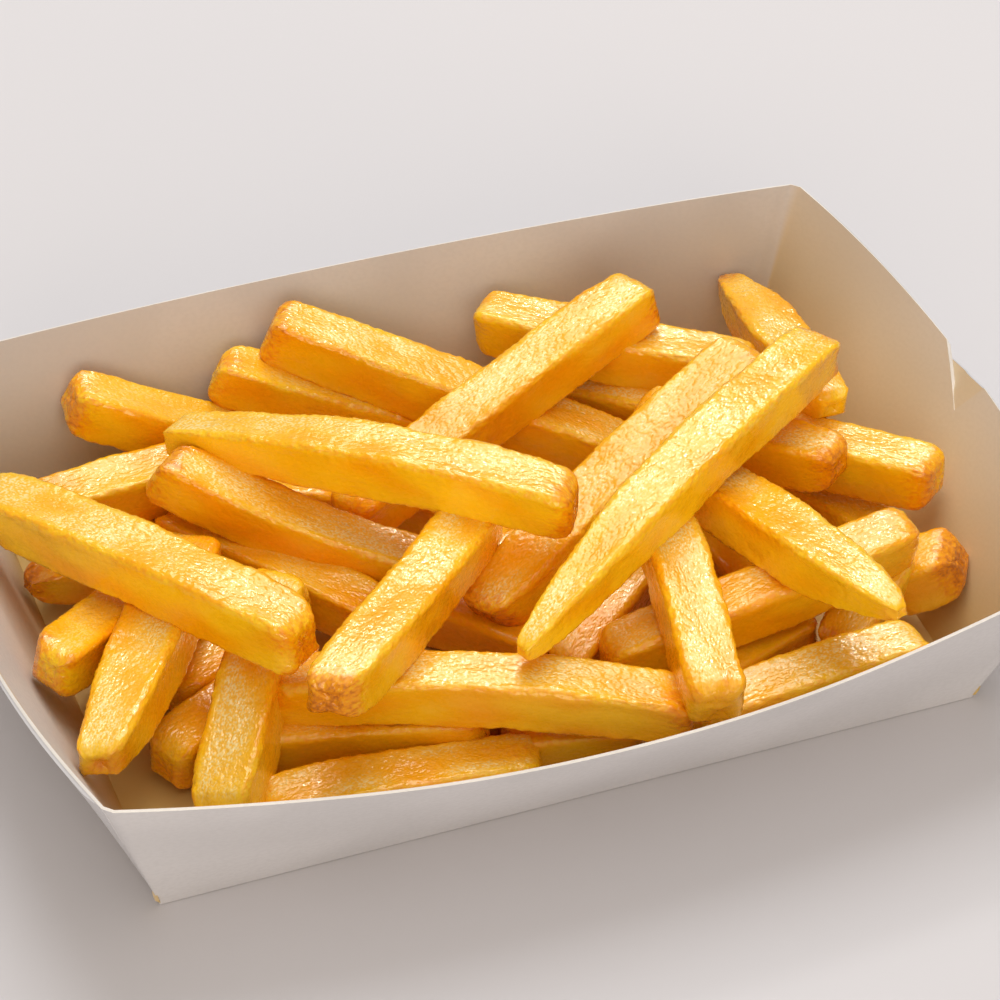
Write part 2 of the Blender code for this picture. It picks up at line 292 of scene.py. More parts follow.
TOP_FRIES = [
    Fry(
        (-81, 30, 23.5),
        (-42, -26, 29),
        width=11,
        depth=10.8,
        rise=1,
        start_taper=0.8,
        end_brown=0.6,
        golden=0.4,
    ),
    Fry((46, 39, 32), (-20.4, 15.5, 14.5), width=10.5, depth=10.3, start_taper=0.9, start_brown=0.75, golden=0.5),
    Fry((56, 15, 33), (-5.2, -13.5, 13), width=10.8, depth=10.5, end_taper=0.8, end_brown=1.0, golden=0.45),
    Fry((40, -5, 23.5), (53.5, -55, 33), width=10.8, depth=10, end_taper=0.3, end_brown=0.35, golden=0.4),
    Fry((28, -13, 26), (20, -57, 23), width=10.3, depth=10, end_taper=0.95, end_brown=0.3, golden=0.6),
    Fry((-43, -40, 29), (1, 1, 24), width=10.5, depth=10, start_taper=0.75, start_brown=1.0, golden=0.5),
    Fry(
        (-46.7, 34.6, 26),
        (11, -14, 34),
        width=10.5,
        depth=10.3,
        rise=2.3,
        start_taper=0.6,
        start_brown=0.5,
        end_brown=0.8,
        golden=0.35,
    ),
    Fry(
        (69, 10.6, 36),
        (-8.6, -38.4, 28),
        width=10.2,
        depth=10.2,
        rise=3,
        end_taper=0.35,
        start_brown=0.8,
        end_brown=0.4,
        golden=0.3,
    ),
]
ALL_FRIES = BED_FRIES + LOW_FRIES + MIDDLE_FRIES + TOP_FRIES
longest = max((Vector(f.end) - Vector(f.start)).length for f in ALL_FRIES)
print(len(ALL_FRIES), "fries, the longest", round(longest), "mm")

# %% [markdown]
# ## The form of one fry
#
# A raw fry is a square bar. In the oil its skin sets first along the edges, which stay
# proud and turn crisp, while the faces between them sink as the inside dries. The bar could
# be a cube with modifiers, but then every fry would share one form. Here each is lofted
# from sections instead: a rounded square, sized by how full the fry is at that place, and
# closed at the ends by smaller rings. `section` gives that rounded square as places and
# outward directions, with the points closest together at the corners, where the form is
# tightest.

# %% A section of a fry
CORNER_SHARE = 0.27
FACE_POINTS = 11
CORNER_POINTS = 5


def section(face_points=FACE_POINTS, corner_points=CORNER_POINTS):
    """Points of a rounded square of half width 1, as (across, up, normal across, normal up)."""
    flat = 1 - CORNER_SHARE
    ring = []
    for quarter in range(4):
        turn = quarter * math.pi / 2
        c, s = math.cos(turn), math.sin(turn)
        local = []
        for i in range(corner_points):
            angle = -math.pi / 4 + math.pi / 4 * (i / (corner_points - 1))
            place = Vector((flat + CORNER_SHARE * math.cos(angle), -flat + CORNER_SHARE * math.sin(angle)))
            local.append((place, Vector((math.cos(angle), math.sin(angle)))))
        for i in range(1, face_points + 1):
            share = i / (face_points + 1)
            local.append((Vector((1, -flat + 2 * flat * share)), Vector((1, 0))))
        for i in range(corner_points - 1):
            angle = math.pi / 4 * (i / (corner_points - 1))
            place = Vector((flat + CORNER_SHARE * math.cos(angle), flat + CORNER_SHARE * math.sin(angle)))
            local.append((place, Vector((math.cos(angle), math.sin(angle)))))
        for place, normal in local:
            ring.append(
                (
                    place.x * c - place.y * s,
                    place.x * s + place.y * c,
                    normal.x * c - normal.y * s,
                    normal.x * s + normal.y * c,
                )
            )
    return ring


print("points round a section:", len(section()))

# %% [markdown]
# ## Stations along a fry
#
# The stations run from one end to the other, about as far apart as the section's own
# points, so that the faces of the mesh are nearly square. At each end the last two
# millimetres turn over like a worn edge, and rings of falling size close the cut face.

# %% Stations along a fry
HALF_FRY = 5
END_RADIUS = 2.4
END_STEPS = 5
CAP_RINGS = 5


def stations(length, spacing):
    """(place from -1 to 1, size from 0 to 1) of each ring of a fry of that length."""
    half = length / 2
    body = max(8, round((length - 2 * END_RADIUS) / spacing))
    rows = []
    for i in range(CAP_RINGS):
        rows.append((-1.0, (i + 0.6) / CAP_RINGS * (1 - END_RADIUS / HALF_FRY)))
    for i in range(END_STEPS):
        angle = math.pi / 2 * i / END_STEPS
        inward, shrunk = 1 - math.cos(angle), 1 - math.sin(angle)
        rows.append((-1 + END_RADIUS / half * inward, 1 - END_RADIUS / HALF_FRY * shrunk))
    reach = 1 - END_RADIUS / half
    for i in range(body + 1):
        rows.append((-reach + 2 * reach * i / body, 1.0))
    mirrored = [(-s, size) for s, size in rows[: CAP_RINGS + END_STEPS]]
    return rows + mirrored[::-1]


print("rings on a fry of 60 mm:", len(stations(60, 0.8)))

# %% [markdown]
# ## Relief on a fry
#
# Three sizes of unevenness make fried potato: lumps as wide as the fry where it bent and
# shrank, blisters and wrinkles of one to three millimetres in the set skin, and a crumbly
# edge. All come from smooth noise, read in the fry's own directions, so that wrinkles run
# with the fry. Each fry starts at another place in the noise, so that no two are the same
# and yet the script gives the same heap each time.

# %% Relief on a fry
LUMP = 0.55
BLISTER = 0.24
WRINKLE = 0.09
FACE_SINK = 0.22
EDGE_CRUMB = 0.22
END_CRUMPLE = 0.9
END_SLANT = math.radians(15)


def relief(local, shift, edge, tip):
    """How far the skin stands out, in millimetres, at a place in the fry's own directions."""
    across, up, along = local
    lumps = noise.noise(Vector((across / 9, up / 9, along / 13)) + shift)
    blisters = noise.noise(Vector((across / 3.2, up / 3.2, along / 4.6)) + shift * 2)
    folds = noise.noise(Vector((across / 1.3, up / 1.3, along / 1.9)) + shift * 3)
    crumbs = noise.noise(Vector((across / 0.9, up / 0.9, along / 1.1)) + shift * 5)
    sink = FACE_SINK * (1 - edge) * (0.6 + noise.noise(Vector((across / 8, up / 8, along / 17)) + shift * 7))
    height = LUMP * lumps + BLISTER * blisters * (0.6 + 0.4 * edge)
    height -= WRINKLE * (1 - min(1, abs(folds) * 5)) * (0.4 + abs(blisters) * 1.6)
    height += EDGE_CRUMB * crumbs * max(edge, tip) - sink
    return height - END_CRUMPLE * tip * abs(blisters + 0.4 * folds)


def smooth(low, high, value):
    share = min(1.0, max(0.0, (value - low) / (high - low)))
    return share * share * (3 - 2 * share)


print("relief at one place:", round(relief((5, 0, 10), Vector((1, 2, 3)), 0.2, 0.0), 3), "mm")

# %% [markdown]
# ## Lofting the fries
#
# Each layer of the heap becomes one mesh, so that a layer can be hidden or looked at by
# itself. While a fry's points are made, a few facts are stored with each point for the
# material: how near it is to a long edge, how brown the end near it is, how far it faces
# up, which sets how much painted sheen it gets (less in the lower layers, which lie in the
# heap's shade), how golden its fry is, whether it lies in a paler or a deeper patch, and
# its place along the fry's own directions. Blender keeps such facts as attributes, and
# reading one costs a render far less than working out a pattern for each ray of light.

# %% Loft the fries
FLOOR_TOP = 0.5
CLEAR_OF_FLOOR = 0.25
POINTED_BELOW = 0.7
POINTED_POWER = 1.9
BLUNT_POWER = 6.0
FACTS = ("edge", "tip", "up_facing_sheen", "golden", "patches")


def fullness(fry, s):
    """The fry's girth at s as a share of its full one. A pointed end narrows from further back."""
    taper = fry.start_taper if s < 0 else fry.end_taper
    power = POINTED_POWER if taper < POINTED_BELOW else BLUNT_POWER
    return 1 - (1 - taper) * abs(s) ** power


def fry_axes(fry):
    along = (Vector(fry.end) - Vector(fry.start)).normalized()
    across = Vector((0, 0, 1)).cross(along).normalized()
    up = along.cross(across)
    turn = math.radians(fry.roll)
    side = across * math.cos(turn) + up * math.sin(turn)
    return along, side, up * math.cos(turn) - across * math.sin(turn)


def loft_fry(fry, number, spacing, ring, sheen_share, out):
    """Adds a fry's points, faces and stored facts to out."""
    along, side, up = fry_axes(fry)
    start, end = Vector(fry.start), Vector(fry.end)
    length = (end - start).length
    chance = random.Random(900 + number)
    shift = Vector([chance.uniform(-50, 50) for _ in range(3)])
    sway = chance.uniform(-0.5, 0.5)
    bow = chance.uniform(-0.35, 0.35)
    twist = math.radians(chance.uniform(-5, 5))
    slants = [[math.tan(chance.uniform(-END_SLANT, END_SLANT)) for _ in range(2)] for _ in range(2)]
    first = len(out["places"])
    rows = stations(length, spacing)
    for s, size in rows:
        full = fullness(fry, s)
        half_w, half_d = fry.width * full / 2, fry.depth * full / 2
        middle = start.lerp(end, (s + 1) / 2) + Vector((0, 0, fry.rise * (1 - s * s)))
        middle += side * sway * math.cos(s * 2.6) + up * bow * (0.4 - s * s)
        c, n = math.cos(twist * s), math.sin(twist * s)
        side_here, up_here = side * c + up * n, up * c - side * n
        at = s * length / 2
        brown_end = fry.start_brown if s < 0 else fry.end_brown
        from_end = length / 2 * (1 - abs(s))
        tip = 1 - smooth(0.3, 3.2, from_end)
        slant_w, slant_d = slants[0] if s < 0 else slants[1]
        near_end = 1 - smooth(0.0, 9.0, from_end)
        for a, b, na, nb in ring:
            edge = smooth(0.35, 0.92, min(abs(a), abs(b)))
            local = (a * half_w * size, b * half_d * size, at)
            height = relief(local, shift, edge * smooth(0.3, 1.0, size), tip)
            facing = side_here * na + up_here * nb
            outward = facing * (height * size)
            cap = Vector()
            if abs(s) > 0.999:
                cap = along * (math.copysign(1, s) * height * 1.2 * (1 - size))
            slide = along * ((local[0] * slant_w + local[1] * slant_d) * near_end)
            place = middle + side_here * local[0] + up_here * local[1] + outward + cap + slide
            place.z = max(place.z, FLOOR_TOP + CLEAR_OF_FLOOR)
            out["places"].append(((place.x + BASE_X) * MM, (place.y + BASE_Y) * MM, place.z * MM))
            out["edge"].append(edge if size > 0.9 else 0.5 * edge)
            out["tip"].append(brown_end * (1 - smooth(0.0, 7.5, from_end)))
            # The mask of the painted sheen: how far the point faces up, times the layer's share.
            out["up_facing_sheen"].append(sheen_share * smooth(0.1, 0.9, facing.z) * (1 - tip) if size > 0.9 else 0.0)
            out["golden"].append(fry.golden)
            broad = noise.noise(Vector((local[0] / 5.2, local[1] / 5.2, at / 11)) + shift * 9)
            out["patches"].append(0.5 + 0.5 * broad)
            out["grain"].append((local[0] + shift.x, local[1] + shift.y, at + shift.z))
    count = len(ring)
    for row in range(len(rows) - 1):
        low = first + row * count
        for i in range(count):
            after = (i + 1) % count
            out["faces"].append((low + i, low + after, low + count + after, low + count + i))
    for row, order in ((0, -1), (len(rows) - 1, 1)):
        low = first + row * count
        out["faces"].append([low + i for i in range(count)][::order])


def loft_layer(name, fries, first_number, spacing, ring, sheen_share):
    out = {key: [] for key in ("places", "faces", *FACTS, "grain")}
    for i, fry in enumerate(fries):
        loft_fry(fry, first_number + i, spacing, ring, sheen_share, out)
    mesh = bpy.data.meshes.new(name)
    mesh.from_pydata(out["places"], [], out["faces"])
    for key in FACTS:
        fact = mesh.attributes.new(key, "FLOAT", "POINT")
        fact.data.foreach_set("value", out[key])
    fact = mesh.attributes.new("grain", "FLOAT_VECTOR", "POINT")
    fact.data.foreach_set("vector", [c for place in out["grain"] for c in place])
    mesh.shade_smooth()
    mesh.update()
    triangles = sum(len(f) - 2 for f in out["faces"])
    print(f"{name}: {len(fries)} fries, {triangles} triangles")
    return add_object(name, mesh)


FINE = section()
PLAIN = section(7, 4)
# The lower layers get less painted sheen, as they lie in the heap's shade.
layers = [
    loft_layer("fries_bed", BED_FRIES, 0, 1.3, PLAIN, 0.05),
    loft_layer("fries_low", LOW_FRIES, 10, 0.75, PLAIN, 0.5),
    loft_layer("fries_middle", MIDDLE_FRIES, 30, 0.64, FINE, 1.0),
    loft_layer("fries_top", TOP_FRIES, 50, 0.48, FINE, 1.0),
]

# %% [markdown]
# ## What fried potato looks like
#
# Fried potato isn't one yellow. The faces are a clear amber where the skin is thin and oily
# and light goes into it. Where a face looks up, its colour is lifted to a pale cream-yellow
# with small paler specks: a painted sheen and painted glints that stand in for the light the
# tops reflect. The long edges carry a thin, broken line of orange crust, and the ends have
# gone furthest, to a glassy brown. The recipe lays these over one another in that order.
# Light also enters real potato and comes out again near by. The shader could trace that, but
# it is slow in a heap that light crosses many times, so the depth is told by clear, deep
# colours instead. Thin oil on top, the shader's coat, gives the small bright glints.

# %% The finish of the fries
def fried_potato():
    r = Recipe("fried_potato")
    grain = r.stretched(r.attribute("grain", "Vector"), (1.0, 1.0, 0.65))
    edge, tip, golden = r.attribute("edge"), r.attribute("tip"), r.attribute("golden")
    up_facing_sheen, patches = r.attribute("up_facing_sheen"), r.attribute("patches")

    creases = r.speckle(grain, 1.2, 1.0, 0.65)
    crystals = r.speckle(grain, 3.2)

    depth = r.math("ADD", r.math("MULTIPLY", golden, 0.5), r.math("MULTIPLY", patches, 0.9))
    flesh = r.mixed(r.mapped(depth, 0.42, 1.0), colour(255, 202, 22), colour(254, 174, 2))
    ragged = r.math("ADD", r.math("MULTIPLY", patches, 1.2), r.math("MULTIPLY", creases, 0.7))
    # Painted sheen: faces that look up are lifted towards pale cream, less near the edges and in ragged patches,
    # standing in for the light their tops reflect.
    painted_sheen = r.math("MULTIPLY", up_facing_sheen, r.mapped(ragged, 0.76, 1.12, 1.0, 0.1))
    painted_sheen = r.math("MULTIPLY", painted_sheen, r.mapped(edge, 0.3, 0.85, 1.0, 0.1))
    flesh = r.mixed(r.math("MULTIPLY", painted_sheen, 0.62), flesh, colour(251, 198, 84))
    # Painted glints: pale specks on the up-facing faces, with amber pits between them, standing in for sparkle
    # from the lamps.
    specks = r.math("ADD", crystals, r.math("MULTIPLY", creases, 0.5))
    painted_glints = r.math("MULTIPLY", painted_sheen, r.mapped(specks, 0.70, 0.92))
    flesh = r.mixed(r.math("MULTIPLY", painted_glints, 0.75), flesh, colour(255, 238, 172))
    pits = r.math("MULTIPLY", up_facing_sheen, r.mapped(specks, 0.54, 0.70, 1.0, 0.0))
    flesh = r.mixed(r.math("MULTIPLY", pits, 0.22), flesh, colour(244, 164, 24))

    crust = r.math("MULTIPLY", r.mapped(edge, 0.8, 1.0), r.mapped(creases, 0.44, 0.6))
    crusty = r.mixed(r.math("MULTIPLY", crust, 0.35), flesh, colour(248, 140, 2))

    browned = r.math("ADD", tip, r.math("MULTIPLY", r.math("SUBTRACT", creases, 0.5), 1.3))
    browned = r.math("ADD", browned, r.math("MULTIPLY", r.math("SUBTRACT", patches, 0.5), 0.8))
    toasted = r.mixed(r.mapped(browned, 0.3, 0.95, 0.0, 0.75), crusty, colour(238, 136, 2))
    dark = r.mixed(r.mapped(browned, 0.8, 1.3, 0.0, 0.75), toasted, colour(172, 84, 4))
    r.feed(r.shader.inputs["Base Color"], dark)

    r.feed(r.shader.inputs["Roughness"], r.mapped(creases, 0.35, 0.65, 0.2, 0.4))
    r.shader.inputs["Specular IOR Level"].default_value = 0.5
    r.shader.inputs["Specular Tint"].default_value = (1.0, 0.88, 0.55, 1.0)
    r.shader.inputs["Coat Weight"].default_value = 0.6
    r.shader.inputs["Coat Roughness"].default_value = 0.09

    rough_skin = r.mapped(r.math("MAXIMUM", up_facing_sheen, tip), 0.0, 0.6, 0.35, 0.8)
    normal = r.bumps(creases, 0.3 * MM, rough_skin)
    r.feed(r.shader.inputs["Normal"], normal)
    r.feed(r.shader.inputs["Coat Normal"], normal)
    return r.material


potato = fried_potato()
for layer in layers:
    layer.data.materials.append(potato)
    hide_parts("fries")
    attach(layer, "root")
print("the heap wears", potato.name)

# %% [markdown]
# ## The carton's walls
#
# The tray is one sheet: a flat floor and four walls that lean out. Each wall's foot is
# straight, because it is a fold, while its rim bows outwards, so every upright line on a
# wall is straight and the wall is a ruled surface. Board doesn't stretch, so where the rim
# stands further out it also stands lower. `wall_point` says this once, and everything
# that follows a wall, from the sheet itself to the folded ears, asks it.

# %% Walls
BASE_LENGTH = 150.0
BASE_WIDTH = 97.0
CORNER_HEIGHT = 35.0
END_LEAN = 11.0
SIDE_LEAN = 9.0
BOWS = {"front": 10.0, "back": 6.0, "right": 10.0, "left": 8.0}
BOARD = 0.5
CORNER_FACET = 1.2


def rim_reach(lean, bow, u):
    """How far the rim stands out from the foot, and its height, at u from -1 to 1."""
    reach = lean + bow * (1 - u * u)
    slant = math.hypot(lean, CORNER_HEIGHT)
    return reach, math.sqrt(slant**2 - reach**2)


def wall_point(wall, u, t):
    """A point on the outside of a wall, u along it and t up it, from 0 at the foot to 1."""
    half_x, half_y = BASE_LENGTH / 2, BASE_WIDTH / 2
    side = 1 if wall in ("right", "back") else -1
    if wall in ("right", "left"):
        reach, height = rim_reach(END_LEAN, BOWS[wall], u)
        return Vector((side * (half_x + reach * t), u * (half_y + SIDE_LEAN * t), height * t))
    reach, height = rim_reach(SIDE_LEAN, BOWS[wall], u)
    return Vector((u * (half_x + END_LEAN * t), side * (half_y + reach * t), height * t))


def wall_normal(wall, u, t):
    """The direction out of the carton at a point of a wall."""
    step = 0.01
    along = wall_point(wall, u + step, t) - wall_point(wall, u - step, t)
    upward = wall_point(wall, u, t + step) - wall_point(wall, u, t - step)
    normal = along.cross(upward).normalized()
    middle = wall_point(wall, 0, 0)
    return normal if normal.dot(Vector((middle.x, middle.y, 0))) > 0 else -normal


print("rim height in the middle of the front:", round(rim_reach(SIDE_LEAN, BOWS["front"], 0)[1], 1), "mm")

# %% [markdown]
# ## The folded sheet
#
# At each corner the board folds along two creases that meet at the floor, with a narrow
# strip between them. A crease is pressed into board before it is folded, and leaves a low
# bead on the inside. So the columns of the mesh stand close together at the corners, and
# the two that lie on a crease are pushed in by a fraction of a millimetre. The Solidify
# modifier then gives the sheet its thickness, and its cut rim a finish of its own.

# %% Folded sheet
WALL_ROWS = 26
BEAD = 0.16
BEAD_WIDTH = 0.8
WARP = 0.16
CREASES = {"front": (0.0, 3.0), "back": (0.0, 3.0), "right": (0.0,), "left": (0.0,)}
# Painted glow inside the tray, standing in for golden light thrown back by the fries: its share at each wall's
# foot and rim, how fast it falls, and its share on the cut faces.
PAINTED_GLOW_FOOT = {"front": 0.6, "back": 0.4, "right": 0.95, "left": 0.95}
PAINTED_GLOW_RIM = {"front": 0.1, "back": 0.05, "right": 0.3, "left": 0.0}
PAINTED_GLOW_FALL = {"front": 1.0, "back": 1.0, "right": 1.0, "left": 2.6}
PAINTED_GLOW_AT_CUT = 0.38
columns = []


def add_columns(wall, start, spans):
    """Columns from one corner of a wall to the other, close together beside each crease."""
    half = BASE_LENGTH / 2 + END_LEAN if wall in ("front", "back") else BASE_WIDTH / 2 + SIDE_LEAN
    last = 1 - CORNER_FACET / half
    marks = []
    for crease in CREASES[wall]:
        for beside in (-BEAD_WIDTH, 0.0, BEAD_WIDTH):
            if crease + beside >= 0:
                marks.append((1 - (crease + beside) / half, beside == 0.0))
    inner = 1 - 4.5 / half
    evenly = [(inner * (1 - 2 * i / spans), False) for i in range(spans + 1)]
    for share, bead in marks + evenly + [(-share, bead) for share, bead in marks[::-1]]:
        columns.append((wall, start * share, last, bead))


for wall, start, spans in (("front", -1, 64), ("right", -1, 44), ("back", 1, 64), ("left", 1, 44)):
    add_columns(wall, start, spans)
print("columns of board round the tray:", len(columns))


def sheet_place(wall, share, last, bead, t):
    """A column runs from its place on the foot to one a little nearer the middle on the rim."""
    u = share * (1 + (last - 1) * t)
    place = wall_point(wall, u, t)
    warp = noise.noise(Vector((place.x / 34, place.y / 34, place.z / 26)))
    push = WARP * warp * t + (BEAD * min(1, t * 8, (1 - t) * 12) if bead else 0)
    return place - wall_normal(wall, u, t) * push


# %% [markdown]
# Each end wall also has a small three-cornered cut at its rim, a little off its middle,
# where the slit of the lock opens. It is taken out of the sheet with a Boolean and a
# three-cornered prism that stands through the wall. The cut's own faces get the finish of
# cut board, because that is what they are.

# %% Cut for the lock
NOTCH = ((14.5, 1.06), (-1.8, 0.804), (-4.4, 1.06))


def notch_cutter(wall, side):
    half = BASE_WIDTH / 2 + SIDE_LEAN
    bm = bmesh.new()
    rings = []
    for distance in (-3.0, 3.0):
        ring = []
        for along, t in NOTCH:
            u = side * along / half
            place = wall_point(wall, u, t) + wall_normal(wall, u, min(t, 0.98)) * distance
            ring.append(bm.verts.new((place + Vector((BASE_X, BASE_Y, 0))) * MM))
        rings.append(ring)
    bm.faces.new(rings[0])
    bm.faces.new(rings[1])
    for i in range(3):
        after = (i + 1) % 3
        bm.faces.new((rings[0][i], rings[0][after], rings[1][after], rings[1][i]))
    bmesh.ops.recalc_face_normals(bm, faces=bm.faces)
    for face in bm.faces:
        face.material_index = 1
    mesh = bpy.data.meshes.new(f"notch_{wall}")
    bm.to_mesh(mesh)
    bm.free()
    for _ in range(3):
        mesh.materials.append(None)
    return add_object(f"notch_{wall}", mesh)


# %% [markdown]
# Now the sheet itself. A number called `warm` is stored with each point: it says how much
# painted glow, standing in for the golden light that the fries throw back, that part of the
# inside gets, most at the floor and least at the rim.

# %% Fold the sheet
FOOT_BAND = (0.05, 1.0)
FOOT_INSET = 0.15
FOOT_SLOPES = (0.3, 0.26)


def tuck_foot(mesh):
    """Brings the floor's upper corner points, which thickening throws out, back behind the walls."""
    for point in mesh.vertices:
        x, y, z = point.co.x / MM - BASE_X, point.co.y / MM - BASE_Y, point.co.z / MM
        if FOOT_BAND[0] < z < FOOT_BAND[1]:
            reach_x = BASE_LENGTH / 2 - FOOT_INSET + FOOT_SLOPES[0] * z
            reach_y = BASE_WIDTH / 2 - FOOT_INSET + FOOT_SLOPES[1] * z
            point.co.x = (min(reach_x, max(-reach_x, x)) + BASE_X) * MM
            point.co.y = (min(reach_y, max(-reach_y, y)) + BASE_Y) * MM


def fold_sheet():
    bm = bmesh.new()
    warm = bm.verts.layers.float.new("warm")
    loops = []
    for row in range(WALL_ROWS + 1):
        t = row / WALL_ROWS
        loop = []
        for column in columns:
            point = bm.verts.new(sheet_place(*column, t))
            low_share = (1 - t) ** PAINTED_GLOW_FALL[column[0]]
            point[warm] = PAINTED_GLOW_FOOT[column[0]] * low_share + PAINTED_GLOW_RIM[column[0]] * (1 - low_share)
            loop.append(point)
        loops.append(loop)
    count = len(columns)
    for low, high in zip(loops, loops[1:]):
        for i in range(count):
            after = (i + 1) % count
            bm.faces.new((low[i], low[after], high[after], high[i]))
    bm.faces.new(loops[0][::-1])
    bmesh.ops.remove_doubles(bm, verts=bm.verts, dist=0.001)
    bmesh.ops.recalc_face_normals(bm, faces=bm.faces)
    for vertex in bm.verts:
        vertex.co = Vector((vertex.co.x + BASE_X, vertex.co.y + BASE_Y, vertex.co.z)) * MM
    mesh = bpy.data.meshes.new("carton_board")
    bm.to_mesh(mesh)
    bm.free()
    mesh.shade_smooth()
    for _ in range(3):
        mesh.materials.append(None)
    made = add_object("carton_board", mesh)
    thick = made.modifiers.new("board", "SOLIDIFY")
    thick.thickness = BOARD * MM
    thick.offset = -1
    thick.material_offset_rim = 1
    thick.material_offset = 2
    cutters = [notch_cutter("right", 1), notch_cutter("left", -1)]
    for cutter in cutters:
        cut = made.modifiers.new(cutter.name, "BOOLEAN")
        cut.operation = "DIFFERENCE"
        cut.solver = "EXACT"
        cut.object = cutter
    graph = bpy.context.evaluated_depsgraph_get()
    solid = bpy.data.meshes.new_from_object(made.evaluated_get(graph))
    made.modifiers.clear()
    made.data = solid
    for cutter in cutters:
        bpy.data.objects.remove(cutter)
    # Points made by the cut get a set share of the painted glow.
    for fact in solid.attributes["warm"].data:
        fact.value = fact.value or PAINTED_GLOW_AT_CUT
    tuck_foot(solid)
    solid.set_sharp_from_angle(angle=math.radians(28))
    return made


board = fold_sheet()
print("faces of the sheet before it is thickened:", len(board.data.polygons))

# %% [markdown]
# ## Ears and locks
#
# The long walls end in ears that are folded round behind the end walls. One ear at each end
# is short. The other is long, and its end lies behind the cut near the wall's middle, a
# little lower than the rim, which is how the tray is locked. `wall_patch` makes any such
# layer: a slab that follows a wall between two distances from its outer face, so it lies on
# the wall wherever the wall bows.

# %% Ears and locks
EAR_START = 1.4
SHORT_EAR = 36.0
LEFT_SHORT_EAR = 41.0
LONG_EAR = 70.0
EAR_FOOT = 0.10
EAR_DROP = 0.42


def wall_patch(name, wall, corners_of, spans, rows, inner, outer):
    """A closed slab. At each share of its width, corners_of gives its lower and upper (u, t),
    and inner and outer give its distances from the wall."""
    bm = bmesh.new()
    sides = []
    for distance_of in (inner, outer):
        grid = []
        for i in range(spans + 1):
            low, high = corners_of(i / spans)
            distance = distance_of(i / spans)
            column = []
            for k in range(rows + 1):
                u = low[0] + (high[0] - low[0]) * k / rows
                t = low[1] + (high[1] - low[1]) * k / rows
                place = wall_point(wall, u, t) + wall_normal(wall, u, t) * distance
                place += Vector((BASE_X, BASE_Y, 0))
                column.append(bm.verts.new(place * MM))
            grid.append(column)
        sides.append(grid)
    near, far = sides
    for i in range(spans):
        for k in range(rows):
            for grid in sides:
                face = bm.faces.new((grid[i][k], grid[i + 1][k], grid[i + 1][k + 1], grid[i][k + 1]))
                face.material_index = 1 if grid is near else 0
        for k in (0, rows):
            bm.faces.new((near[i][k], near[i + 1][k], far[i + 1][k], far[i][k]))
    for i in (0, spans):
        for k in range(rows):
            bm.faces.new((near[i][k], near[i][k + 1], far[i][k + 1], far[i][k]))
    bmesh.ops.recalc_face_normals(bm, faces=bm.faces)
    mesh = bpy.data.meshes.new(name)
    bm.to_mesh(mesh)
    bm.free()
    mesh.shade_smooth()
    mesh.set_sharp_from_angle(angle=math.radians(28))
    # Each slab gets a middling share of the painted glow from the fries.
    fact = mesh.attributes.new("warm", "FLOAT", "POINT")
    fact.data.foreach_set("value", [0.5] * len(mesh.vertices))
    return add_object(name, mesh)


def make_ear(wall, side, reach):
    half = BASE_WIDTH / 2 + SIDE_LEAN
    long_one = reach > half

    def corners(share):
        along = EAR_START + reach * share
        u = side * (1 - along / half)
        past = max(0.0, along - half + 4.4)
        drop = 0.004 * past if long_one else 0.07 * smooth(0.93, 1.0, share)
        foot = EAR_FOOT + (EAR_DROP - EAR_FOOT) * share
        return (u, foot), (u, 0.997 - drop)

    def inner(share):
        behind_cut = smooth(half + 1, half + 4, EAR_START + reach * share)
        return -0.3 + (BOARD + 0.35) * behind_cut if long_one else -0.3

    def outer(share):
        return inner(share) + 0.3 + 0.5 * smooth(0.0, 5.0, reach * share)

    name = f"ear_{wall}_{'back' if side > 0 else 'front'}"
    return wall_patch(name, wall, corners, 64 if long_one else 32, 8, inner, outer)


def make_lip(wall, side):
    """The second layer of board along the upright side of the cut."""
    half = BASE_WIDTH / 2 + SIDE_LEAN
    top, foot = NOTCH[0], NOTCH[1]
    at_rim = foot[0] + (top[0] - foot[0]) * (0.99 - foot[1]) / (top[1] - foot[1])

    def corners(share):
        return (side * (foot[0] + 2 * share) / half, foot[1]), (side * (at_rim + 2 * share) / half, 0.99)

    return wall_patch(f"lip_{wall}", wall, corners, 2, 10, lambda share: 0.0, lambda share: 0.5)


lips = [make_lip("right", 1), make_lip("left", -1)]
trim = [
    make_ear("right", 1, SHORT_EAR),
    make_ear("right", -1, LONG_EAR),
    make_ear("left", -1, LEFT_SHORT_EAR),
    make_ear("left", 1, LONG_EAR),
]
print("layers at the ends:", [piece.name for piece in trim + lips])

# %% [markdown]
# ## What the board looks like
#
# The board is bleached and uncoated, so it is a warm white without gloss. Close to, its
# fibres make a faint cloudiness and a very fine tooth. Its cut edge shows the pulp, a
# little rougher and yellower than the faces. Inside, the board is painted a golden tone
# towards the floor, a painted glow that stands in for the light the fries throw back, so the
# inside has a recipe of its own, which reads the stored number `warm`.

